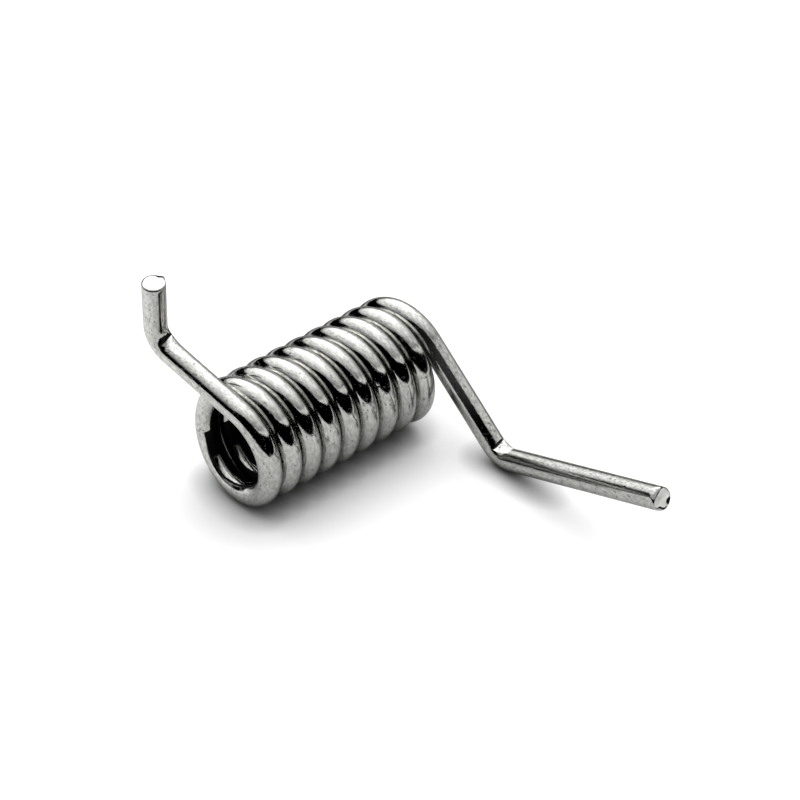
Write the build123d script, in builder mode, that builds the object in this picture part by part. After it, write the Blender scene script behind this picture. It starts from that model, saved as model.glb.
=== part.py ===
from build123d import *
from math import acos, atan2, cos, degrees, hypot, radians, sin, tan
import os

# Torsion spring, wound right-handed from one round wire. Millimetres and degrees.
#
# Frame: the origin is the middle of the coil, on its axis. +Y runs along the coil axis, from
# the near end to the far end, and +Z is up. The spring lies at rest: the coil and the underside
# of the far bend touch one level plane.

# Driving dimensions
wire_diameter = 2.5
coil_inside_diameter = 8.75      # what an arbor goes through
turn_gap = 0.18                  # clear space between one turn and the next
full_turns = 9                   # whole turns, besides the offset below
leg_offset = 29.4                # how far the far leg leaves beyond the whole turns, degrees
cut_edge_radius = 0.12           # the rolled edge that shearing leaves at both cut ends

near_leg_length = 9.85           # straight stretch from the coil to the near bend
near_bend_inner_radius = 1.32
near_bend_angle = 81.2
near_tip_length = 5.65           # straight stretch from the bend to the cut end
near_tip_lean = 6.0              # how far the tip leans outwards from its leg's plane, degrees

far_leg_length = 12.7
far_bend_inner_radius = 1.48
far_bend_angle = 64.5
far_tip_length = 22.15
far_tip_lean = 2.0

# Sizes that follow
wire_radius = wire_diameter / 2
mean_radius = coil_inside_diameter / 2 + wire_radius
pitch = wire_diameter + turn_gap
near_bend_radius = near_bend_inner_radius + wire_radius
far_bend_radius = far_bend_inner_radius + wire_radius


def resting_leg_angle(coil_radius, leg_length, bend_radius):
    """How far past the top of the coil a leg leaves it, so that its bend comes down to the
    plane that the coil lies on. All radii are those of the wire's centre line."""
    across = coil_radius + bend_radius
    down = bend_radius - coil_radius
    return degrees(acos(down / hypot(across, leg_length)) - atan2(leg_length, across))


def direction(rise, lean):
    """A unit vector in the legs' plane, raised by rise from +X and leant by lean towards -Y."""
    return Vector(
        cos(radians(lean)) * cos(radians(rise)),
        -sin(radians(lean)),
        cos(radians(lean)) * sin(radians(rise)),
    )


# Angles round the coil axis, from the top, clockwise as seen from the near end
far_leg_angle = resting_leg_angle(mean_radius, far_leg_length, far_bend_radius)
near_leg_angle = far_leg_angle - leg_offset
coil_turns = full_turns + leg_offset / 360
coil_length = pitch * coil_turns


def corner_distance(straight, bend_radius, leg_direction, tip_direction):
    """Length of a straight stretch, counted to the sharp corner that its bend rounds off."""
    turn = leg_direction.get_angle(tip_direction)
    return straight + bend_radius * tan(radians(turn / 2))


# The wire's centre line: near tip, near bend, near leg, coil, far leg, far bend, far tip.
# The helix starts on its plane's x axis, so that axis points at where the near leg leaves.
coil_start = Plane(
    origin=(0, -coil_length / 2, 0),
    x_dir=(sin(radians(near_leg_angle)), 0, cos(radians(near_leg_angle))),
    z_dir=(0, 1, 0),
)

with BuildPart() as spring:
    with BuildLine() as centre_line:
        helix = Helix(pitch=pitch, height=coil_length, radius=mean_radius, mode=Mode.PRIVATE)
        coil = coil_start * helix
        add(coil)

        near_leg = (coil % 0) * -1
        near_tip = direction(180 - near_leg_angle - near_bend_angle, near_tip_lean)
        near_corner = coil @ 0 + near_leg * corner_distance(
            near_leg_length, near_bend_radius, near_leg, near_tip
        )
        near_end = near_corner + near_tip * corner_distance(
            near_tip_length, near_bend_radius, near_leg, near_tip
        )
        FilletPolyline(near_end, near_corner, coil @ 0, radius=near_bend_radius)

        far_leg = coil % 1
        far_tip = direction(far_bend_angle - far_leg_angle, far_tip_lean)
        far_corner = coil @ 1 + far_leg * corner_distance(
            far_leg_length, far_bend_radius, far_leg, far_tip
        )
        far_end = far_corner + far_tip * corner_distance(
            far_tip_length, far_bend_radius, far_leg, far_tip
        )
        FilletPolyline(coil @ 1, far_corner, far_end, radius=far_bend_radius)

    # The round section is carried along the whole centre line, from the near cut end
    with BuildSketch(Plane(origin=near_end, z_dir=near_tip * -1)):
        Circle(wire_radius)
    sweep(path=centre_line.line)

    cut_faces = spring.faces().filter_by(GeomType.PLANE)
    fillet(cut_faces.edges(), radius=cut_edge_radius)

spring.part.label = "spring"

os.makedirs("parts", exist_ok=True)
export_step(spring.part, "parts/spring.step")

print(f"legs leave at {near_leg_angle:.2f} and {far_leg_angle:.2f} degrees past the top")
print(f"coil {coil_turns:.3f} turns, {coil_length + wire_diameter:.2f} mm long")
print(f"wire {centre_line.wires()[0].length:.1f} mm long, volume {spring.part.volume:.1f} mm3")
print(f"faces {[str(face.geom_type) for face in spring.faces()]}")
print(f"box {spring.part.bounding_box()}")
print(f"centre of mass {spring.part.center()}")
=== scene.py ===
# %% [markdown]
# # A torsion spring
#
# A torsion spring is one length of round steel wire, wound into a coil with both ends left
# straight as legs. Each leg is bent once more near its end, so that it can hook into a part.
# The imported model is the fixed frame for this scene: it says where the wire lies and how big
# it is. The scene models the same wire again, adds the marks that making it leaves, gives it
# its finish, and lights it.

# %% Load the frame
from bisect import bisect
from math import acos, atan2, cos, degrees, hypot, pi, radians, sin, tan

import bmesh
import bpy
from mathutils import Matrix, Vector
from mathutils.kdtree import KDTree


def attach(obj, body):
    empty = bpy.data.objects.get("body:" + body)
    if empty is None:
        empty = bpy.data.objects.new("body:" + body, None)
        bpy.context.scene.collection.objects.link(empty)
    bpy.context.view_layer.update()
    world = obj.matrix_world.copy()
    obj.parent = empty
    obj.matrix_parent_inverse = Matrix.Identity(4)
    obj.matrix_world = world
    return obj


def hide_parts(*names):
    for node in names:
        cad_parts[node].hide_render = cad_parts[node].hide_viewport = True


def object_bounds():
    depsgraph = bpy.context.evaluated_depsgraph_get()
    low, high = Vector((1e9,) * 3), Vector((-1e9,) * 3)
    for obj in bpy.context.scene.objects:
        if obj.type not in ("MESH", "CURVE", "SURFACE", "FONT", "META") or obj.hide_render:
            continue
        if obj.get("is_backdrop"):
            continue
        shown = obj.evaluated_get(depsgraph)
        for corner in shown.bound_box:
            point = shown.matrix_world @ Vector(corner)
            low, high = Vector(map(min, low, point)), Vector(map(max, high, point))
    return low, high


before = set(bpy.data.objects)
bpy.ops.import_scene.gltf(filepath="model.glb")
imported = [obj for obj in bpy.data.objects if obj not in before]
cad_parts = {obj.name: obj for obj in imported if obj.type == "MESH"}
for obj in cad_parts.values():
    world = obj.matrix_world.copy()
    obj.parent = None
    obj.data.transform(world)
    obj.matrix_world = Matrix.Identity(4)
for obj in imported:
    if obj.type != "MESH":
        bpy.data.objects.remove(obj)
cad_low, cad_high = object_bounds()
print("the packed spring's box is", [round(size * 1000, 2) for size in cad_high - cad_low], "mm")

# %% [markdown]
# ## Sizes
#
# All lengths are in metres, so `mm` keeps them readable. They could be measured on the packed
# mesh, but a winder sets up a spring from a few numbers: the wire, the coil, how many turns and
# how far apart, and how long and how sharply each leg is bent. The same few numbers drive this
# model, so a change of one of them moves everything that depends on it.

# %% Driving sizes
mm = 0.001
wire_radius = 1.25 * mm
coil_inside_radius = 4.375 * mm
turn_gap = 0.18 * mm
full_turns = 9
leg_offset = radians(29.4)

near_leg_length = 9.85 * mm
near_bend_radius = 1.32 * mm + wire_radius
near_bend_angle = radians(81.2)
near_tip_length = 5.65 * mm
near_tip_lean = radians(6.0)

far_leg_length = 12.7 * mm
far_bend_radius = 1.48 * mm + wire_radius
far_bend_angle = radians(64.5)
far_tip_length = 22.15 * mm
far_tip_lean = radians(2.0)

mean_radius = coil_inside_radius + wire_radius
pitch = 2 * wire_radius + turn_gap
coil_angle = 2 * pi * full_turns + leg_offset
coil_length = pitch * coil_angle / (2 * pi)
print(f"the coil is {coil_length / mm:.2f} mm long between the middles of its first and last turn")

# %% [markdown]
# ## Where the legs leave
#
# The spring lies on its coil and on the underside of the far bend. That fixes the angle round
# the coil at which the far leg leaves: the bend has to come down to the plane that the coil
# touches. The near leg leaves a fixed offset earlier.

# %% Unit vectors round the coil
def round_the_coil(angle):
    """Unit vector from the coil's axis outwards, at an angle from the top towards +X."""
    return Vector((sin(angle), 0, cos(angle)))


def along_the_turns(angle):
    """Unit vector along the wire of the coil at that angle."""
    across = Vector((cos(angle), 0, -sin(angle))) * mean_radius
    return (across + Vector((0, pitch / (2 * pi), 0))).normalized()


def raised(up, lean):
    """Unit vector in the legs' plane, raised from +X and leant towards -Y."""
    return Vector((cos(lean) * cos(up), -sin(lean), cos(lean) * sin(up)))


print("on top of the coil the wire runs along", [round(value, 3) for value in along_the_turns(0)])

# %% Directions of the legs and tips
# The bend is as low as the coil when its middle is far_bend_radius - mean_radius above the axis.
# Its middle is across * cos(far_angle) - far_leg_length * sin(far_angle) above the axis.
across = mean_radius + far_bend_radius
down = far_bend_radius - mean_radius
far_angle = acos(down / hypot(across, far_leg_length)) - atan2(far_leg_length, across)
near_angle = far_angle - leg_offset

near_leg = -along_the_turns(near_angle)
near_tip = raised(pi - near_angle - near_bend_angle, near_tip_lean)
far_leg = along_the_turns(far_angle)
far_tip = raised(far_bend_angle - far_angle, far_tip_lean)
coil_start = round_the_coil(near_angle) * mean_radius - Vector((0, coil_length / 2, 0))
coil_end = round_the_coil(far_angle) * mean_radius + Vector((0, coil_length / 2, 0))
print(f"legs leave at {degrees(near_angle):.2f} and {degrees(far_angle):.2f} degrees past the top")

# %% [markdown]
# ## The coil
#
# The coil could be a curve with a round bevel, but a curve gives no control over its rings.
# Here the wire's section is one circle, set square to the wire where the coil starts, and the
# Screw modifier carries it round and along the axis. That is how the real coil is wound, and
# it makes even rings that the legs can grow from.

# %% Wind the coil
section_sides = 40
rings_per_turn = 72

bpy.ops.object.select_all(action="DESELECT")
start_frame = Matrix((
    round_the_coil(near_angle),
    along_the_turns(near_angle).cross(round_the_coil(near_angle)),
    along_the_turns(near_angle),
)).transposed()
bpy.ops.mesh.primitive_circle_add(
    vertices=section_sides,
    radius=wire_radius,
    location=coil_start,
    rotation=start_frame.to_euler(),
)
wire = bpy.context.object
wire.name = "spring_wire"
wire.data.name = "spring_wire"
bpy.ops.object.transform_apply(location=True, rotation=True, scale=True)

turns = wire.modifiers.new("turns", "SCREW")
turns.axis = "Y"
turns.angle = coil_angle
turns.screw_offset = coil_length
turns.steps = turns.render_steps = round(rings_per_turn * coil_angle / (2 * pi))
bpy.ops.object.modifier_apply(modifier=turns.name)
print("the coil has", len(wire.data.polygons), "faces")

# %% [markdown]
# ## The legs and their bends
#
# A leg is the wire running straight on from the coil, so the coil's last ring is extruded
# along it. A bend turns the same ring about an axis: that is the Spin operator, which keeps
# the section round. Growing one mesh this way leaves no seam between coil, leg and tip. Each
# tip stops a little short, which leaves room for its cut end.

# %% Pick points by their place
close = 0.01 * mm


def pick(test):
    """Selects the vertices that pass the test, with the edges and faces between them."""
    bpy.ops.mesh.select_all(action="DESELECT")
    edit = bmesh.from_edit_mesh(wire.data)
    for vertex in edit.verts:
        vertex.select = test(vertex.co)
    edit.select_flush(True)
    bmesh.update_edit_mesh(wire.data)
    return sum(vertex.select for vertex in edit.verts)


def pick_ring(centre, along):
    """Selects the ring of vertices square to the wire at one place."""
    return pick(lambda place: (place - centre).length < wire_radius + close
                and abs((place - centre).dot(along)) < close)


print("a point is in a ring if it lies within", close / mm, "mm of the ring's plane")

# %% Grow a ring straight on and round a bend
ring_spacing = 0.5 * mm
bend_steps = 36


def run_straight(along, length):
    """Grows the selected ring straight on, with rings about as far apart as in the coil."""
    steps = round(length / ring_spacing)
    for _ in range(steps):
        bpy.ops.mesh.extrude_region_move(TRANSFORM_OT_translate={"value": along * length / steps})


def turn(centre, along, onto, radius, steps):
    """Grows the selected ring round a bend, from one direction onto another."""
    axis = along.cross(onto).normalized()
    pivot = centre + axis.cross(along) * radius
    angle = along.angle(onto)
    bpy.ops.mesh.spin(steps=steps, angle=-angle, center=pivot, axis=axis)
    return pivot + Matrix.Rotation(angle, 3, axis) @ (centre - pivot)


print("rings lie", ring_spacing / mm, "mm apart on the legs, and a bend has", bend_steps)

# %% Grow a whole leg
end_room = 0.7 * mm


def grow_leg(name, start, leg, leg_length, tip, tip_length, bend_radius):
    """Grows leg, bend and tip from the ring at start, and returns where the tip will end."""
    picked = pick_ring(start, leg)
    run_straight(leg, leg_length)
    bend_end = turn(start + leg * leg_length, leg, tip, bend_radius, bend_steps)
    reached = pick_ring(bend_end, tip)
    run_straight(tip, tip_length - end_room)
    tip_end = bend_end + tip * tip_length
    print(name, "leg: rings of", picked, "and", reached, "points, tip ends at",
          [round(value / mm, 3) for value in tip_end], "mm")
    return tip_end


# %% Grow both legs
bpy.ops.object.mode_set(mode="EDIT")
near_end = grow_leg("near", coil_start, near_leg, near_leg_length, near_tip, near_tip_length,
                    near_bend_radius)
far_end = grow_leg("far", coil_end, far_leg, far_leg_length, far_tip, far_tip_length,
                   far_bend_radius)
bpy.ops.object.mode_set(mode="OBJECT")

# %% [markdown]
# ## A ruler along the wire
#
# Marks and finish follow the wire, not the room: a scratch from the drawing die runs along the
# wire round every turn. So each place on the wire gets an address: how far it is from the near
# cut end, and at which angle round the section, counted from straight out of the coil. The
# ruler is a list of stations, close together. It could also be read off the mesh's rings, but
# the sizes above already say where the wire's middle runs.

# %% Tools for the ruler
station_step = 0.05 * mm
stations = []
reach = []


def station(centre, along, out):
    """Adds one station, with its distance from the near cut end."""
    last = stations[-1][0] if stations else centre
    reach.append((reach[-1] if reach else 0) + (centre - last).length)
    stations.append((centre, along, out))


def stations_straight(start, along, out, length):
    """Lays stations on a straight run, and returns where it ends."""
    steps = round(length / station_step)
    for step in range(steps):
        station(start + along * length * step / steps, along, out)
    return start + along * length


def stations_round(start, along, onto, out, radius):
    """Lays stations round a bend, and returns where it ends and the turned out vector."""
    axis = along.cross(onto).normalized()
    pivot = start + axis.cross(along) * radius
    angle = along.angle(onto)
    steps = round(radius * angle / station_step)
    for step in range(steps + 1):
        turned = Matrix.Rotation(angle * step / steps, 3, axis)
        if step < steps:
            station(pivot + turned @ (start - pivot), turned @ along, turned @ out)
    return pivot + turned @ (start - pivot), turned @ out


print("the stations lie", station_step / mm, "mm apart")

# %% Lay the stations, near side first
near_out = round_the_coil(near_angle)
bend_back = Matrix.Rotation(near_leg.angle(near_tip), 3, near_leg.cross(near_tip).normalized())
here = stations_straight(near_end, -near_tip, bend_back @ near_out, near_tip_length)
here, out = stations_round(here, -near_tip, -near_leg, bend_back @ near_out, near_bend_radius)
here = stations_straight(here, -near_leg, out, near_leg_length)
print("the near leg meets the coil within", round((here - coil_start).length / mm, 6), "mm")

# %% Lay the stations of the coil and the far side
steps = round(mean_radius * coil_angle / station_step)
for step in range(steps):
    angle = near_angle + coil_angle * step / steps
    middle = Vector((0, coil_length * (step / steps - 0.5), 0))
    station(round_the_coil(angle) * mean_radius + middle, along_the_turns(angle),
            round_the_coil(angle))

here = stations_straight(coil_end, far_leg, round_the_coil(far_angle), far_leg_length)
here, out = stations_round(here, far_leg, far_tip, round_the_coil(far_angle), far_bend_radius)
here = stations_straight(here, far_tip, out, far_tip_length)
station(here, far_tip, out)
print("the far tip ends within", round((here - far_end).length / mm, 6), "mm")
print("the wire is", round(reach[-1] / mm, 2), "mm long")

# %% Find a place by its address
# where the corner of the bending tool met the wire at each bend, from the near cut end
near_mark, far_mark = 9.29 * mm, 355.265 * mm


def at(distance, angle):
    """The wire's middle at a distance from the near cut end, the direction along the wire, the
    direction that faces out at the angle, and the one across both."""
    index = max(0, bisect(reach, distance) - 1)
    centre, along, out = stations[index]
    side = along.cross(out)
    facing = out * cos(angle) + side * sin(angle)
    return centre + along * (distance - reach[index]), along, facing, along.cross(facing)


for distance in (0, near_mark, far_mark):
    print(round(distance / mm, 2), "mm along, the wire's middle lies at",
          [round(value / mm, 2) for value in at(distance, 0)[0]])

# %% Find the address of a place
nearest = KDTree(len(stations))
for index, (centre, _, _) in enumerate(stations):
    nearest.insert(centre, index)
nearest.balance()


def address(place):
    """How far a place is from the wire's middle, out and across, and how far along it lies."""
    _, index, _ = nearest.find(place)
    centre, along, out = stations[index]
    offset = place - centre
    return Vector((offset.dot(out), offset.dot(along.cross(out)),
                   reach[index] + offset.dot(along)))


print("the near tip's end is at", [round(value / mm, 3) for value in address(near_end)])

# %% [markdown]
# ## The three surfaces
#
# The drawn steel covers nearly all of the wire. Where a cutter sheared it, the fresh metal is
# brighter and grainy. Where a tool bit into it or the metal tore, shade is painted into the
# corner as a near black. They are three materials in three slots, made empty here, so that every
# cutting tool can carry the same slots and leave the right surface behind. Their nodes follow
# later.

# %% Make the slots
steel = bpy.data.materials.new("drawn_spring_steel")
sheared = bpy.data.materials.new("sheared_steel")
scale = bpy.data.materials.new("painted_shade_black")
surfaces = (steel, sheared, scale)
# the third slot is painted shade, a near black for creases, corners and chips
STEEL, SHEARED, PAINTED_SHADE = range(3)
for surface in surfaces:
    surface.use_nodes = True
    wire.data.materials.append(surface)
print("slots:", [slot.name for slot in wire.data.materials])

# %% [markdown]
# ## The cut ends
#
# A cutter doesn't saw the wire, it shears it: the rim that the blade meets is rolled over, and
# the rest of the face breaks. A Bevel would round the whole rim alike. Here the last ring is
# extruded in small steps, and each step's ring is placed by a radius and a depth that depend on
# the angle, so the roll can be narrow on one side and wide on the other. Shade is painted as a
# dark line in the corner between roll and face, and widens to a black chip of painted shade where
# the rim broke off. Last, one part of the near rim is pushed out to a burr, the little lip that
# a cutter leaves, and as the wire is closed now, its faces are turned to look outwards.

# %% Angles and bumps round the section
def bump(angle, middle, width):
    """1 at the middle angle, falling to 0 at half the width to both sides. All in degrees."""
    off = abs((angle - middle + 180) % 360 - 180) / (width / 2)
    return 0.5 + 0.5 * cos(pi * min(1, off))


def section_angle(place):
    """The angle of a place round the wire's section, in degrees."""
    out, across, _ = address(place)
    return degrees(atan2(across, out))


print("15 degrees off its middle, a bump 60 degrees wide is", round(bump(15, 0, 60), 2))

# %% Grow one ring of a cut end
def grow_ring(end, outward, radius, depth):
    """Extrudes the selected ring once more. Its new radius and its depth below the end of the
    wire are functions of the angle round the section, in degrees."""
    bpy.ops.mesh.extrude_region_move(TRANSFORM_OT_translate={"value": (0, 0, 0)})
    edit = bmesh.from_edit_mesh(wire.data)
    for vertex in edit.verts:
        if vertex.select:
            offset = vertex.co - end
            offset -= offset.dot(outward) * outward
            angle = section_angle(vertex.co)
            vertex.co = end + offset.normalized() * radius(angle) - outward * depth(angle)
    bmesh.update_edit_mesh(wire.data)


# %% Give the faces of a cut end their surfaces
end_zone = 1.2 * wire_radius
end_on = 0.5
hairline = 0.03 * mm


def surface_end(name, end, outward, inner, line):
    """Inside the roll, the face gets the sheared surface. The line round it gets the painted shade
    wherever it is wider than a hairline."""
    counts = [0, 0, 0]
    for polygon in wire.data.polygons:
        offset = polygon.center - end
        if offset.length < end_zone and abs(polygon.normal.dot(outward)) > end_on:
            angle = section_angle(polygon.center)
            from_axis = (offset - offset.dot(outward) * outward).length
            if from_axis < inner(angle) - line(angle):
                polygon.material_index = SHEARED
            elif from_axis < inner(angle) and line(angle) > hairline:
                polygon.material_index = PAINTED_SHADE
            counts[polygon.material_index] += 1
    print(name, "cut end: rim, face and line have", counts, "faces")


# %% Finish a cut end
roll_steps = 5
roll_sweep = radians(72)
face_shares = (1, 0.8, 0.6, 0.4, 0.2)


def finish_end(name, end, outward, roll, relief, line):
    """Rolls the rim over, and closes the face with rings that carry the relief. A dark line of
    painted shade lies between the roll and the face, and line gives its width at an angle."""
    def inner(angle):
        return wire_radius - roll(angle) * (1 - cos(roll_sweep))

    bpy.ops.object.mode_set(mode="EDIT")
    pick_ring(end - outward * end_room, outward)
    for step in range(roll_steps + 1):
        swept = roll_sweep * step / roll_steps
        grow_ring(end, outward, lambda angle: wire_radius - roll(angle) * (1 - cos(swept)),
                  lambda angle: roll(angle) * (1 - sin(swept)))
    for share in face_shares:
        grow_ring(end, outward, lambda angle: (inner(angle) - line(angle)) * share,
                  lambda angle: roll(angle) * (1 - sin(roll_sweep)) * share + relief(angle, share))
    bpy.ops.mesh.edge_face_add()
    bpy.ops.mesh.poke()
    bpy.ops.object.mode_set(mode="OBJECT")
    surface_end(name, end, outward, inner, line)


# %% Shape the near cut end
def near_roll(angle):
    """How wide the rim is rolled over at an angle."""
    return (0.15 + 0.13 * bump(angle, 50, 200) + 0.015 * sin(radians(5 * angle))) * mm


def near_relief(angle, share):
    """How deep the face is torn, at an angle and a share of the way out to the rim."""
    torn = 0.09 * bump(angle, -100, 60) + 0.05 * bump(angle, 140, 90)
    return (0.03 + (torn - 0.03 * bump(angle, -62, 40)) * share ** 3) * mm


def near_line(angle):
    """How wide the dark line between roll and face is at an angle."""
    clean = bump(angle, -44, 70)
    return max(0.02, 0.07 + 0.06 * bump(angle, -108, 50) - 0.09 * clean) * mm


finish_end("near", near_end, near_tip, near_roll, near_relief, near_line)

# %% Shape the far cut end
chord_angle, chord_distance = 32, 0.845 * mm


def far_roll(angle):
    """How wide the rim is rolled over. On one side the face ends in a chord of the section."""
    from_chord = abs((angle - chord_angle + 180) % 360 - 180)
    chord = chord_distance / cos(radians(from_chord)) if from_chord < 60 else 2 * wire_radius
    burr = (0.13 + 0.30 * bump(angle, 148, 70)) * mm
    return max(burr, (wire_radius - chord) / (1 - cos(roll_sweep)))


def chipped(angle):
    """How far the far end's rim is chipped, from 0 to 1: once on top, and round the burr."""
    return min(1, 2.2 * bump(angle, -124, 52) + 0.65 * bump(angle, 157, 120))


def far_relief(angle, share):
    """How deep the face is torn. It is wavy, and sinks a little more at the chips."""
    wavy = 0.05 + 0.05 * share * sin(radians(2 * angle + 40)) - 0.03 * share ** 2
    return (wavy + 0.08 * chipped(angle) * share ** 6) * mm


def far_line(angle):
    """How wide the dark line is. It widens along the chord, and most at the chips."""
    torn = 0.14 * min(1, 2 * bump(angle, chord_angle, 150))
    return (0.02 + max(torn, 0.04 * bump(angle, -80, 120)) + 0.34 * chipped(angle)) * mm


finish_end("far", far_end, far_tip, far_roll, far_relief, far_line)

# %% Push a burr out of the near rim
burr_height, burr_rise = 0.22 * mm, 0.03 * mm
burr_angle, burr_width, burr_depth = -84, 44, 0.12 * mm
for vertex in wire.data.vertices:
    offset = vertex.co - near_end
    if offset.length < 1.3 * wire_radius and offset.dot(near_tip) > -burr_depth:
        share = bump(section_angle(vertex.co), burr_angle, burr_width)
        share *= (offset.length / wire_radius) ** 4
        vertex.co += (burr_rise * near_tip + burr_height * offset.normalized()) * share
print("the burr stands out by", burr_height / mm, "mm")


# %% Turn all faces outwards
def face_outwards():
    """Turns the faces of the active mesh outwards."""
    bpy.ops.object.mode_set(mode="EDIT")
    bpy.ops.mesh.select_all(action="SELECT")
    bpy.ops.mesh.normals_make_consistent(inside=False)
    bpy.ops.object.mode_set(mode="OBJECT")


face_outwards()
print("with its ends closed, the wire has", len(wire.data.polygons), "faces")

# %% [markdown]
# ## The marks of the bending tool
#
# The legs are bent over the corner of a hardened tool. It leaves a flat on the inside of the
# bend, with a sharp crease where the wire rises from it, and it squeezes a little metal aside.
# The flat could be drawn with bump, but its outline shows against the light, so it is cut: a
# block with one leaning side is laid at the place, and a Boolean takes it out of the wire.

# %% Take a tool's shape out of the wire
def give_surfaces(tool):
    """Gives a tool the same slots as the wire."""
    for surface in surfaces:
        tool.data.materials.append(surface)


def cut_away(tool):
    """Takes the tool's shape out of the wire, and then the tool out of the scene."""
    bpy.ops.object.select_all(action="DESELECT")
    bpy.context.view_layer.objects.active = wire
    wire.select_set(True)
    cut = wire.modifiers.new(tool.name, "BOOLEAN")
    cut.operation = "DIFFERENCE"
    cut.object = tool
    cut.solver = "EXACT"
    cut.material_mode = "INDEX"
    name = tool.name
    bpy.ops.object.modifier_apply(modifier=cut.name)
    bpy.data.objects.remove(tool, do_unlink=True)
    print("after", name, "the wire has", len(wire.data.polygons), "faces")


# %% Make a pressing tool
def pressing_block(name, low, high):
    """A block over four low corners and four high ones, both given round its sides."""
    bpy.ops.object.select_all(action="DESELECT")
    bpy.ops.mesh.primitive_cube_add(size=1)
    block = bpy.context.object
    block.name = name
    give_surfaces(block)
    for vertex in block.data.vertices:
        x, y, z = (value > 0 for value in vertex.co)
        vertex.co = (high if z else low)[2 * x + (x != y)]
    face_outwards()
    return block


def choose_surfaces(block, side, under):
    """The side with this middle leaves painted shade behind, a near black in the crease, and the
    other sides the surface under.
    """
    for polygon in block.data.polygons:
        leaning_side = (polygon.center - side).length < close
        polygon.material_index = PAINTED_SHADE if leaning_side else under
    bpy.ops.object.mode_set(mode="EDIT")
    bpy.ops.mesh.quads_convert_to_tris()
    bpy.ops.object.mode_set(mode="OBJECT")


# %% Press a flat into the wire
flush = 0.0005 * mm
flat_reach = 4 * mm


def sharpen_flat(flat, facing):
    """Marks the edge of a flat as sharp, and returns how many corners it has."""
    bpy.ops.object.mode_set(mode="EDIT")
    picked = pick(lambda place: abs((place - flat).dot(facing)) < flush
                  and (place - flat).length < flat_reach)
    bpy.ops.mesh.select_mode(type="FACE")
    bpy.ops.mesh.region_to_loop()
    bpy.ops.mesh.mark_sharp()
    bpy.ops.mesh.select_mode(type="VERT")
    bpy.ops.object.mode_set(mode="OBJECT")
    return picked


def press(name, distance, angle, sink, tilt, outline, leans, height, under=STEEL):
    """Presses a flat into the wire. It faces the angle round the section, tilted back by tilt,
    and lies sink below the skin at the distance. The outline of the flat is four places, given
    along and across it in mm: the first two are the ends of the crease, and over each of them
    the tool's side leans back by its own angle. The flat gets the surface named by under."""
    centre, along, facing, across = at(distance, radians(angle))
    facing, along = (facing * cos(radians(tilt)) - along * sin(radians(tilt)),
                     along * cos(radians(tilt)) + facing * sin(radians(tilt)))
    flat = centre + facing * (wire_radius - sink)
    low = [flat + (along * a + across * b) * mm for a, b in outline]
    back = (low[1] - low[0]).cross(facing).normalized()
    if back.dot(along) > 0:
        back = -back
    high = [place + facing * height for place in low]
    for end, lean in enumerate(leans):
        high[end] += back * height * tan(radians(lean))
    block = pressing_block(name, low, high)
    choose_surfaces(block, (high[0] + high[1] + low[0] + low[1]) / 4, under)
    cut_away(block)
    print(name, "has a flat with", sharpen_flat(flat, facing), "corners")


# %% Squeeze the skin outwards
def swell(distance, angle, length, width, height):
    """Squeezes the skin outwards round an address. Angle and width are in degrees."""
    for vertex in wire.data.vertices:
        out, across, reached = address(vertex.co)
        share = max(0, 1 - (2 * (reached - distance) / length) ** 2)
        if share:
            share *= bump(degrees(atan2(across, out)), angle, width)
            centre = at(reached, 0)[0]
            vertex.co += (vertex.co - centre).normalized() * height * share ** 2


# %% Press the near bend and the far bend
swell(8.4 * mm, -45, 3.2 * mm, 90, 0.09 * mm)
press("near_bend_tool", near_mark, 12, 0.07 * mm, 2,
      ((-1.196, -1.3), (-0.60, 1.3), (2.0, 1.3), (2.0, -1.3)), (0, 30), 0.6 * mm)
# the crease's corner of the near flat is painted near black, as shade
press("near_bend_corner", near_mark, 12, 0.10 * mm, 2,
      ((-1.21, -1.3), (-0.62, 1.3), (-0.50, 1.3), (-0.98, -1.3)), (0, 30), 0.2 * mm, PAINTED_SHADE)
press("far_bend_tool", far_mark, 10, 0.25 * mm, 0,
      ((-0.90, -1.2), (-0.64, 0.95), (1.0, 0.30), (0.85, -1.2)), (4, 4), 1.2 * mm)

# %% [markdown]
# ## Nicks, pits and chips
#
# Wire gets small dents from the feed rollers, and the sheared ends tear a little. The larger
# ones are cut from the mesh with small balls, stretched along the wire and sunk into its skin.
# They are joined to one tool, because one Boolean with many balls is far quicker than many.

# %% Places of the nicks and chips
# distance along the wire (mm), angle, length and width and depth (mm), surface left behind
# rows with the near black surface paint shade into their chips and tears
dents = (
    (9.50, 37, 0.34, 0.24, 0.07, STEEL),
    (0.00, -64, 0.18, 0.10, 0.34, PAINTED_SHADE),
    (0.42, 49, 0.30, 0.34, 0.05, STEEL),
    (0.45, 78, 0.22, 0.42, 0.04, STEEL),
    (1.91, 47, 0.34, 0.22, 0.05, STEEL),
    (2.55, 71, 0.30, 0.26, 0.06, STEEL),
    (3.30, 66, 0.40, 0.16, 0.05, STEEL),
    (3.95, 73, 0.52, 0.18, 0.06, STEEL),
    (1.80, 91, 0.24, 0.20, 0.05, STEEL),
    (3.92, 97, 0.26, 0.24, 0.05, STEEL),
    (24.65, 58, 0.60, 0.20, 0.06, STEEL),
    (25.4, 91, 0.40, 0.26, 0.06, STEEL),
    (26.1, 34, 0.22, 0.18, 0.05, STEEL),
    (27.2, 16, 0.26, 0.20, 0.05, STEEL),
    (95.3, 9, 0.26, 0.20, 0.05, STEEL),
    (95.9, -14, 0.30, 0.22, 0.05, STEEL),
    (236.1, 46, 0.55, 0.40, 0.10, STEEL),
    (355.75, -32, 0.30, 0.20, 0.10, PAINTED_SHADE),
    (365.8, 88, 0.30, 0.26, 0.06, STEEL),
    (366.6, 77, 0.22, 0.20, 0.05, STEEL),
    (372.3, 90, 0.34, 0.20, 0.05, STEEL),
    (374.7, 41, 0.26, 0.22, 0.06, PAINTED_SHADE),
    (378.84, -17, 0.26, 0.34, 0.16, PAINTED_SHADE),
)
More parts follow.
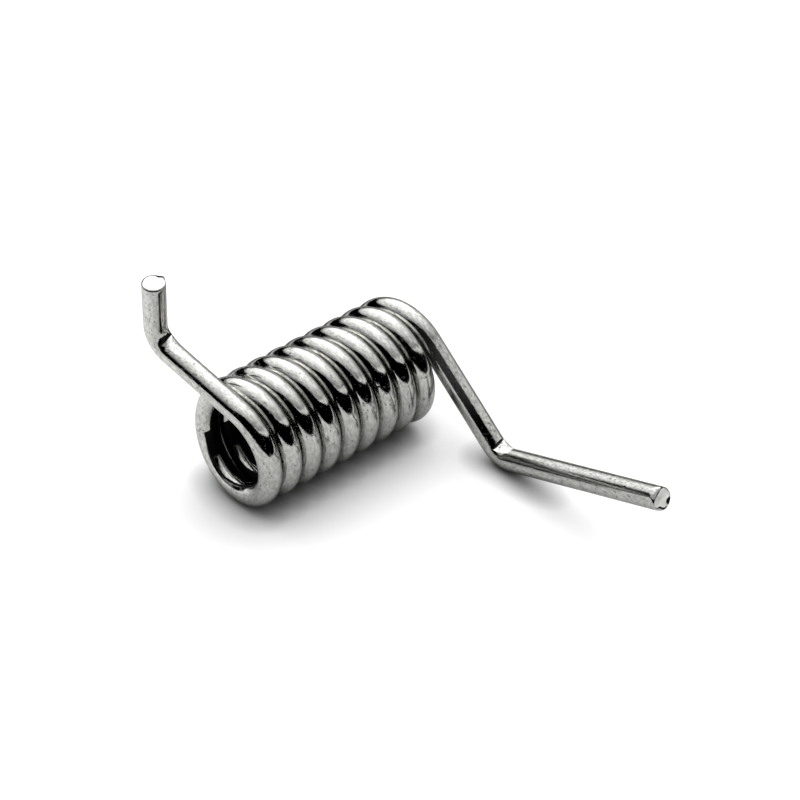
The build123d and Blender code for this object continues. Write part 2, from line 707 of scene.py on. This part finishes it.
# these overlap a dent above, and balls of one tool may not overlap, so they get their own
# both torn corners are painted near black, as shade
torn_corners = (
    (9.62, 42, 0.14, 0.14, 0.07, PAINTED_SHADE),
    (236.30, 54, 0.20, 0.16, 0.12, PAINTED_SHADE),
)
print("there are", len(dents), "dents and", len(torn_corners), "torn corners")


# %% Cut the nicks and chips
def dent_ball(distance, angle, length, width, depth, surface):
    """A ball stretched to one dent's size, with its middle on the wire's skin."""
    centre, along, facing, across = at(distance * mm, radians(angle))
    bpy.ops.mesh.primitive_ico_sphere_add(subdivisions=2, radius=1)
    ball = bpy.context.object
    give_surfaces(ball)
    for vertex in ball.data.vertices:
        x, y, z = vertex.co
        vertex.co = (centre + facing * wire_radius
                     + (facing * x * depth + across * y * width / 2
                        + along * z * length / 2) * mm)
    ball.data.polygons.foreach_set("material_index", [surface] * len(ball.data.polygons))
    return ball


def make_dents(name, rows):
    """Cuts all dents of the list with one tool."""
    bpy.ops.object.select_all(action="DESELECT")
    balls = [dent_ball(*row) for row in rows]
    for ball in balls:
        ball.select_set(True)
    bpy.context.view_layer.objects.active = balls[0]
    bpy.ops.object.join()
    balls[0].name = name
    cut_away(balls[0])


make_dents("dents", dents)
make_dents("torn_corners", torn_corners)

# %% Smooth the wire and look for open edges
sharp_from = radians(35)
bpy.ops.object.shade_smooth_by_angle(angle=sharp_from)
edit = bmesh.new()
edit.from_mesh(wire.data)
open_edges = sum(not edge.is_manifold for edge in edit.edges)
edit.free()
print("the wire has", len(wire.data.polygons), "faces, and", open_edges, "open edges")

# %% [markdown]
# The finish has to know each point's address, and a material can't call the functions above. So
# the addresses are written on the mesh as an attribute, which materials can read. A UV map would
# hold only two of the three numbers, and one of those would jump where the map has its seam.

# %% Write each point's address on the mesh
unwound = wire.data.attributes.new("unwound", "FLOAT_VECTOR", "POINT")
for vertex in wire.data.vertices:
    unwound.data[vertex.index].vector = address(vertex.co)
print("the addresses run to", round(max(item.vector.z for item in unwound.data) / mm, 2), "mm")

# %% [markdown]
# ## Nodes in a few words
#
# A material is a tree of small nodes. Placed by hand in the editor they are easy to see, but a
# script that sets every node on its own gets long. These helpers add one node and wire it: an
# input that is given an output is linked, and one that is given a value is set.

# %% Add and wire a node
def add(tree, kind, inputs=(), **properties):
    """Adds a node of a kind, sets its properties, and links or sets its inputs."""
    node = tree.nodes.new("ShaderNode" + kind)
    for name, value in properties.items():
        setattr(node, name, value)
    for socket, value in dict(inputs).items():
        if isinstance(value, bpy.types.NodeSocket):
            tree.links.new(value, node.inputs[socket])
        else:
            node.inputs[socket].default_value = value
    return node


# %% Sums, steps and mixes
def calculate(tree, operation, first, second=0.0):
    """The result of one sum on two numbers."""
    return add(tree, "Math", {0: first, 1: second}, operation=operation).outputs[0]


def product(tree, first, *others):
    """All the values multiplied together."""
    for other in others:
        first = calculate(tree, "MULTIPLY", first, other)
    return first


def rise(tree, value, low, high, to_low=0.0, to_high=1.0, shape="SMOOTHSTEP"):
    """Turns a value that goes from low to high into one that goes from to_low to to_high."""
    inputs = {"Value": value, "From Min": low, "From Max": high,
              "To Min": to_low, "To Max": to_high}
    return add(tree, "MapRange", inputs, interpolation_type=shape).outputs["Result"]


def between(tree, value, low, high, soft):
    """1 for a value between low and high, and 0 outside. The step is soft wide, and inside."""
    return product(tree, rise(tree, value, low, low + soft), rise(tree, value, high, high - soft))


def mix(tree, share, first, second, data_type="FLOAT"):
    """Goes from the first to the second, a number or a colour, as the share goes from 0 to 1."""
    inputs = {"Factor": share, "A": first, "B": second}
    return add(tree, "Mix", inputs, data_type=data_type).outputs["Result"]


# %% Noise, greys and relief
def noise(tree, place, size, detail=2.0, roughness=0.5, stretch=1.0):
    """Cloudy noise whose spots are about as wide as size, and stretch times as long."""
    grid = add(tree, "Mapping", {"Vector": place, "Scale": (1, 1, 1 / stretch)})
    inputs = {"Vector": grid.outputs[0], "Scale": 1 / size, "Detail": detail,
              "Roughness": roughness}
    return add(tree, "TexNoise", inputs).outputs["Fac"]


def grey(level, warmth=0.0):
    """A grey, a little less blue when warm."""
    return (level, level, level * (1 - warmth), 1)


def open_surface(surface):
    """A surface's tree and shader, and the address on the wire of the point to be coloured."""
    tree = surface.node_tree
    wound = add(tree, "Attribute", attribute_name="unwound").outputs["Vector"]
    return tree, tree.nodes["Principled BSDF"], wound


def emboss(tree, shader, height):
    """Lets the shader show a relief of this height in metres."""
    bumps = add(tree, "Bump", {"Height": height, "Strength": 1, "Distance": 1})
    tree.links.new(bumps.outputs[0], shader.inputs["Normal"])


# %% [markdown]
# ## Drawn spring steel
#
# Wire gets its shine from the drawing die, which pulls it smooth but leaves fine lines along
# it. Over that come the grain of the metal, small pits from dirt, and a slight waviness that
# makes the edges of every reflection a little ragged. An image could show all that from one
# side only, so it is built from noise on the addresses of the ruler: one pattern then follows
# the wire through coil, bends and legs, without a seam.

# %% Steel: where on the wire
tree, shader, wound = open_surface(steel)
parts = add(tree, "SeparateXYZ", {0: wound})
out, across, along = parts.outputs
print("the steel has", len(tree.nodes), "nodes so far")

# %% [markdown]
# Worn patches come first, since the pits are denser and the gloss is duller there. A slow noise
# gives them, and the sharpened threshold keeps most of the wire clean.

# %% Steel: patches, pits and grain
patches = rise(tree, noise(tree, wound, 4 * mm, 2), 0.40, 0.66)
specks = noise(tree, wound, 0.34 * mm, 5, 0.62, 1.3)
pit_edge = mix(tree, patches, 0.64, 0.572)
pits = rise(tree, calculate(tree, "SUBTRACT", specks, pit_edge), 0, 0.05)

grain = rise(tree, noise(tree, wound, 0.26 * mm, 4, 0.75, 1.8), 0.28, 0.72)
waves = noise(tree, wound, 0.75 * mm, 2, 0.5, 1.6)
die_lines = noise(tree, wound, 0.11 * mm, 2, 0.6, 40)
print("the steel has", len(tree.nodes), "nodes so far")

# %% [markdown]
# In the bore, shade is painted into the steel's colour: a near black stands for the dark inside
# of the coil. It covers the skin that faces the coil's axis, and goes further round the wire deep
# inside. It leaves out a bright strip on the first two turns and a small gap behind them. A mask
# drawn in an image could place all that, but on the ruler's addresses it takes only a few steps,
# each between two lengths of wire or two angles round it.

# %% Steel: laps and angles in the coil
coil_from, coil_to = 22 * mm, 338 * mm
turn_length = 35.44 * mm
first_lap = 33.2 * mm
wrap_at = -100

in_coil = between(tree, along, coil_from, coil_to, 4 * mm)
lap = calculate(tree, "MODULO", calculate(tree, "SUBTRACT", along, first_lap), turn_length)
round_wire = calculate(tree, "DEGREES", calculate(tree, "ARCTAN2", across, out))
round_wire = add(tree, "Math", {0: round_wire, 1: wrap_at + 360, 2: wrap_at}, operation="WRAP")
print("a lap is", turn_length / mm, "mm long")

# %% Steel: the edge of the bore's painted shade
# the painted shade starts at this angle round the wire: lower along the start of each lap, then
# higher
lower_edge = rise(tree, lap, 0, 3.5 * mm, 146, 123, "LINEAR")
lower_edge = calculate(tree, "ADD", lower_edge, rise(tree, lap, 9.6 * mm, 10 * mm, 0, 27))
past_edge = calculate(tree, "SUBTRACT", round_wire.outputs[0], lower_edge)
ragged = rise(tree, noise(tree, wound, 0.5 * mm, 3), 0, 1, -3, 3)
past_edge = calculate(tree, "ADD", past_edge, ragged)
print("the soap's edge took the steel to", len(tree.nodes), "nodes")

# %% Steel: where the bore's shade is painted
gap_from, gap_to = 78 * mm, 79.6 * mm
deep_from, deep_to, deep_extra = 62 * mm, 66 * mm, 45
strip_lap_end, strip_end = 6.6 * mm, 77 * mm

gap = between(tree, along, gap_from, gap_to, 0.3 * mm)
deep = product(tree, rise(tree, along, deep_from, deep_to, 0, deep_extra),
               calculate(tree, "SUBTRACT", 1, gap))
inside = product(tree, rise(tree, calculate(tree, "ADD", past_edge, deep), 0, 3),
                 rise(tree, out, -0.1 * mm, -0.2 * mm))
strip = product(tree, rise(tree, past_edge, 12, 15), rise(tree, past_edge, 48, 43),
                rise(tree, lap, strip_lap_end, strip_lap_end - 0.6 * mm),
                rise(tree, along, strip_end, strip_end - 1.5 * mm))
painted_bore_shade = product(tree, in_coil, inside, calculate(tree, "SUBTRACT", 1, strip))
print("the steel has", len(tree.nodes), "nodes so far")

# %% Steel: colour and gloss
dull_from, dull_to = 338 * mm, 352 * mm
tone = mix(tree, grain, grey(0.34, 0.04), grey(0.635, 0.04), "RGBA")
tone = mix(tree, product(tree, pits, 0.72), tone, grey(0.08, 0.1), "RGBA")
# the bore's painted shade: near black where the inside of the coil lies in shade
tone = mix(tree, painted_bore_shade, tone, grey(0.008), "RGBA")
tree.links.new(tone, shader.inputs["Base Color"])
film = between(tree, along, dull_from, dull_to, 6 * mm)
tree.links.new(rise(tree, film, 0, 1, 1, 0.9, "LINEAR"), shader.inputs["Metallic"])
shader.inputs["Specular Tint"].default_value = grey(0.7)
gloss = mix(tree, patches, 0.06, 0.10)
tree.links.new(mix(tree, painted_bore_shade, gloss, 0.5), shader.inputs["Roughness"])
print("the steel has", len(tree.nodes), "nodes so far")

# %% Steel: relief
relief = 0.0
for mark, depth in ((waves, 0.008), (grain, 0.003), (die_lines, 0.0012), (pits, -0.004)):
    relief = calculate(tree, "ADD", product(tree, mark, depth * mm), relief)
emboss(tree, shader, relief)
print("the steel has", len(tree.nodes), "nodes")

# %% [markdown]
# ## Sheared steel and painted shade
#
# A sheared face is bare metal, torn into fine grains: it is as metallic as the skin, but it
# scatters the light. The near black in creases, torn corners and chips is painted shade, so it
# isn't metallic at all.

# %% The sheared face
tree, shader, wound = open_surface(sheared)
torn = noise(tree, wound, 0.16 * mm, 3, 0.7)
tone = mix(tree, torn, grey(0.84, 0.03), grey(1, 0.03), "RGBA")
tree.links.new(tone, shader.inputs["Base Color"])
shader.inputs["Metallic"].default_value = 1
tree.links.new(rise(tree, torn, 0.3, 0.7, 0.5, 0.38), shader.inputs["Roughness"])
emboss(tree, shader, product(tree, torn, 0.02 * mm))
print("the sheared face has", len(tree.nodes), "nodes")

# %% The painted shade
tree, shader, wound = open_surface(scale)
shade_mottle = noise(tree, wound, 0.14 * mm, 3, 0.6)
tone = mix(tree, shade_mottle, grey(0.004), grey(0.02, 0.1), "RGBA")
tree.links.new(tone, shader.inputs["Base Color"])
shader.inputs["Specular IOR Level"].default_value = 0.05
tree.links.new(rise(tree, shade_mottle, 0.3, 0.7, 0.75, 0.5), shader.inputs["Roughness"])
emboss(tree, shader, product(tree, shade_mottle, 0.01 * mm))
print("the scale has", len(tree.nodes), "nodes")

# %% Hand over to the frame
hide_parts("spring")
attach(wire, "root")
print(wire.name, "stands for the packed spring")

# %% [markdown]
# ## The paper floor
#
# The spring stands on white paper that runs out of sight. The paper is lit by the same light
# as the spring, so the spring's shadow falls on it, and its brightness for the camera is set so
# that it turns plain white where nothing shades it. In the steel, the paper near the spring shows
# darker, with light and shade painted into its colour: a painted pool of light round the spring,
# a painted brighter spot at the coil's front, and painted shade behind the spring. Light Path
# tells the camera's view from the steel's. Ambient Occlusion paints the last bit of shade into
# the paper's colour where the wire touches the paper. Further out the paper glows plain white by
# itself, so that its end is never seen.

# %% Lay the paper
scene = bpy.context.scene
scene.view_settings.view_transform = "Standard"
scene.cycles.caustics_reflective = False

paper_size = 6
floor_height = cad_low.z
bpy.ops.object.select_all(action="DESELECT")
bpy.ops.mesh.primitive_plane_add(size=paper_size, location=(0, 0, floor_height))
floor = bpy.context.object
floor.name = "floor"
bpy.ops.object.transform_apply(location=True)
floor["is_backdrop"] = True
print("the paper lies at", round(floor_height / mm, 3), "mm")

# %% Paper: how it shows in the steel
paper = bpy.data.materials.new("white_paper")
paper.use_nodes = True
floor.data.materials.append(paper)
tree = paper.node_tree
tree.nodes.clear()
place = add(tree, "TexCoord").outputs["Object"]


def far_from(spot):
    """How far the paper is from a spot on it, in metres."""
    return add(tree, "VectorMath", {0: place, 1: spot}, operation="DISTANCE").outputs["Value"]


painted_pool_middle = (0.018, -0.020, floor_height)
painted_spot_middle = (-0.040, -0.018, floor_height)
backwards = (-0.41, 0.91, 0)
painted_pool_level, far_level, painted_spot_level, painted_shade_behind = 0.66, 0.12, 0.33, 0.22

# painted light and shade in the paper's colour: a pool round the spring, a spot, dark behind
painted_light_tone = rise(tree, far_from(painted_pool_middle), 0.09, 0.26, painted_pool_level, far_level)
painted_spot_light = rise(tree, far_from(painted_spot_middle), 0.015, 0.055, painted_spot_level, 0)
painted_light_tone = calculate(tree, "ADD", painted_light_tone, painted_spot_light)
behind = add(tree, "VectorMath", {0: place, 1: backwards}, operation="DOT_PRODUCT")
painted_light_tone = product(tree, painted_light_tone, rise(tree, behind.outputs["Value"], 0.010, 0.032, 1, painted_shade_behind))
print("the paper has", len(tree.nodes), "nodes so far")

# %% Paper: how bright it is for each kind of ray
paper_white = 1.0
paper_bounce = 0.1
touch_distance = 3 * mm
seen_by = add(tree, "LightPath").outputs
painted_light_tone = mix(tree, seen_by["Diffuse Depth"], painted_light_tone, paper_bounce)
painted_light_tone = mix(tree, seen_by["Is Camera Ray"], painted_light_tone, paper_white)
# Ambient Occlusion paints shade into the paper's colour where the wire comes close
painted_contact_shade = add(tree, "AmbientOcclusion", {"Color": painted_light_tone, "Distance": touch_distance}, samples=8)
matt = add(tree, "BsdfDiffuse", {"Color": painted_contact_shade.outputs["Color"]})
print("the paper has", len(tree.nodes), "nodes so far")

# %% Paper: into plain white
from_middle = add(tree, "VectorMath", {0: place}, operation="LENGTH")
away = rise(tree, from_middle.outputs["Value"], 0.07, 0.16)
white = add(tree, "Emission", {"Strength": 1})
surface = add(tree, "MixShader", {0: away, 1: matt.outputs[0], 2: white.outputs[0]})
add(tree, "OutputMaterial", {"Surface": surface.outputs[0]})
print("the paper has", len(tree.nodes), "nodes")

# %% [markdown]
# ## The light tent
#
# Polished wire shows its surroundings rather than a colour of its own, so the light is built as
# surroundings: a white tent that glows most high behind the spring, and fades evenly from there.
# Lamps could do it, but each would show as a hard spot in all nine turns. The world's colour
# gives the tent, as the angle between each direction and the brightest one. A core of it shines
# far above white: it looks no brighter where the steel mirrors it once, but it also lights the
# thin lines between the turns, where it is mirrored twice. The paper is lit without the core,
# and with a little extra fill from all sides, so that its shadows stay soft and light.

# %% Directions and angles of the tent
def towards(azimuth, elevation):
    """Unit vector, with the azimuth counted from +X towards +Y, both in degrees."""
    turned, raised_by = radians(azimuth), radians(elevation)
    return Vector((cos(raised_by) * cos(turned), cos(raised_by) * sin(turned), sin(raised_by)))


world = bpy.data.worlds.new("light_tent")
scene.world = world
world.use_nodes = True
tree = world.node_tree
direction = add(tree, "TexCoord").outputs["Generated"]


def off_from(middle):
    """The angle between the direction that is looked at and a given one."""
    facing = add(tree, "VectorMath", {0: direction, 1: middle}, operation="DOT_PRODUCT")
    return calculate(tree, "ARCCOSINE", facing.outputs["Value"])


brightest = towards(146, 54)
print("the tent is brightest towards", [round(value, 2) for value in brightest])

# %% Hang the tent
bright_level, dim_level, low_level = 2.2, 0.36, 0.65
fill = 0.3
glow = rise(tree, off_from(brightest), radians(16), radians(72), bright_level, dim_level, "LINEAR")
height = add(tree, "SeparateXYZ", {0: direction}).outputs["Z"]
glow = product(tree, glow, rise(tree, height, sin(radians(6)), sin(radians(30)), low_level, 1))
for_paper = calculate(tree, "ADD", glow, fill)
print("the tent has", len(tree.nodes), "nodes so far")

# %% Add the core, and sort the rays
core = towards(142, 42)
core_boost = 1.65
boost = rise(tree, off_from(core), radians(12), radians(32), core_boost, 1)
glow = product(tree, glow, boost)
seen_by = add(tree, "LightPath").outputs
glow = mix(tree, seen_by["Is Diffuse Ray"], glow, for_paper)
glow = mix(tree, seen_by["Is Camera Ray"], glow, 1)
background = tree.nodes["Background"]
background.inputs["Color"].default_value = grey(1)
tree.links.new(glow, background.inputs["Strength"])
print("the core is brightest towards", [round(value, 2) for value in core])

# %% [markdown]
# ## Black cards
#
# In a studio, polished metal gets its form from black cards: without them it would be all
# white. Two cards stand round the spring. Each is a ring of a cylinder's wall, cut to the
# stretch that it covers, with its upper edge raised to the height it has there. They could be
# part of the world's colour, but an edge drawn with nodes is harder to read and to move. Over
# the larger card hangs a strip of bright cloth, which sets the black off with a light line.
# Cards and cloth are hidden from the camera, and from the light that falls on the paper.

# %% Colour the cards and the cloth
black = bpy.data.materials.new("black_card")
cloth = bpy.data.materials.new("bright_cloth")
for material, glow_strength in ((black, 0), (cloth, 1.0)):
    material.use_nodes = True
    shader = material.node_tree.nodes["Principled BSDF"]
    shader.inputs["Base Color"].default_value = grey(0)
    shader.inputs["Roughness"].default_value = 1
    shader.inputs["Specular IOR Level"].default_value = 0
    shader.inputs["Emission Color"].default_value = grey(1)
    shader.inputs["Emission Strength"].default_value = glow_strength
    print(material.name, "glows with a strength of", glow_strength)


# %% Read an edge
def height_at(edge, azimuth):
    """Reads an edge, a row of (azimuth, elevation), at an azimuth. All in degrees."""
    for (left, low), (right, high) in zip(edge, edge[1:]):
        if azimuth <= right:
            return low + (high - low) * max(0, azimuth - left) / (right - left)
    return edge[-1][1]


print("halfway up an edge from 0 to 10 it is", height_at(((0, 0), (90, 10)), 45), "high")

# %% Make a card
card_radius = 0.7
card_sides = 144
slack = 0.01


def card(name, material, foot, top):
    """Stands a card over the azimuths of its upper edge, top. Both edges are rows of azimuth
    and elevation."""
    first, last = top[0][0], top[-1][0]
    bpy.ops.object.select_all(action="DESELECT")
    bpy.ops.mesh.primitive_cylinder_add(vertices=card_sides, radius=card_radius, depth=1,
                                        end_fill_type="NOTHING", location=(0, 0, 0.5))
    sheet = bpy.context.object
    sheet.name = name
    bpy.ops.object.transform_apply(location=True)
    edit = bmesh.new()
    edit.from_mesh(sheet.data)
    outside = []
    for vertex in edit.verts:
        azimuth = degrees(atan2(vertex.co.y, vertex.co.x))
        turned = (azimuth - first + slack) % 360 + first - slack
        edge = foot if vertex.co.z < 0.5 else top
        vertex.co.z = card_radius * tan(radians(height_at(edge, turned)))
        if turned > last + slack:
            outside.append(vertex)
    bmesh.ops.delete(edit, geom=outside, context="VERTS")
    edit.to_mesh(sheet.data)
    edit.free()
    sheet.data.materials.append(material)
    sheet.visible_camera = False
    sheet.visible_diffuse = False
    sheet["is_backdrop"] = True
    print(name, "has", len(sheet.data.polygons), "sides")


# %% Stand the cards up
ground = ((-180, -0.5), (360, -0.5))
room_edge = ((-120, 27), (-107.5, 27), (-100, 36), (-90, 48), (-80, 51.5), (-67.5, 55),
             (-52.5, 54), (-37.5, 52.5), (-22.5, 47), (-7.5, 41.5), (7.5, 39), (22.5, 35.5),
             (37.5, 29), (52.5, 21), (67.5, 13), (82.5, 4), (87.5, 1))
card("camera_side_card", black, ground, room_edge)
back_edge = ((100, 1), (112.5, 4), (125, 5), (137.5, 7), (150, 10), (157.5, 11.5), (165, 14),
             (172.5, 17), (187.5, 19.5), (195, 21), (210, 22), (222.5, 22))
card("back_card", black, ground, back_edge)
strip_edge = ((-30, 51), (-22.5, 51), (-7.5, 45.5), (7.5, 44), (22.5, 43), (37.5, 39),
              (52.5, 32), (67.5, 24), (82.5, 12))
card("bright_strip", cloth, room_edge, strip_edge)

# %% [markdown]
# ## The camera
#
# A long lens, six lengths of the spring away, keeps the far leg nearly as large as the near one.
# The camera could be placed by coordinates and turned by three angles, but its view is easier to
# set by the direction that it looks from, the point that it aims at close to the middle of the
# spring, its distance, and a small turn about its own axis.

# %% Camera
look_from = towards(-45.065, 36.586)
look_at = Vector((5.878, 6.201, 0.320)) * mm
camera_distance = 291.57 * mm
camera_roll = radians(2.132)
focal_length, film_width = 126.28, 36

lens = bpy.data.cameras.new("camera")
lens.lens = focal_length
lens.sensor_width = film_width
lens.clip_start = 0.01
camera = bpy.data.objects.new("camera", lens)
scene.collection.objects.link(camera)
camera.location = look_at + look_from * camera_distance
camera.rotation_mode = "QUATERNION"
roll = Matrix.Rotation(camera_roll, 3, "Z").to_quaternion()
camera.rotation_quaternion = look_from.to_track_quat("Z", "Y") @ roll
scene.camera = camera
print("the camera stands", round(camera.location.length / mm), "mm from the middle")

# %% [markdown]
# ## The last measure
#
# The finished wire may not leave the imported spring's box, or it would no longer fit where the
# part fits. So the box is measured again, and both boxes are written down.

# %% Sizes and the end
low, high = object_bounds()
for title, corner in (("visual", low), ("cad", cad_low), ("visual", high), ("cad", cad_high)):
    print(title, "box corner", [round(value / mm, 3) for value in corner])
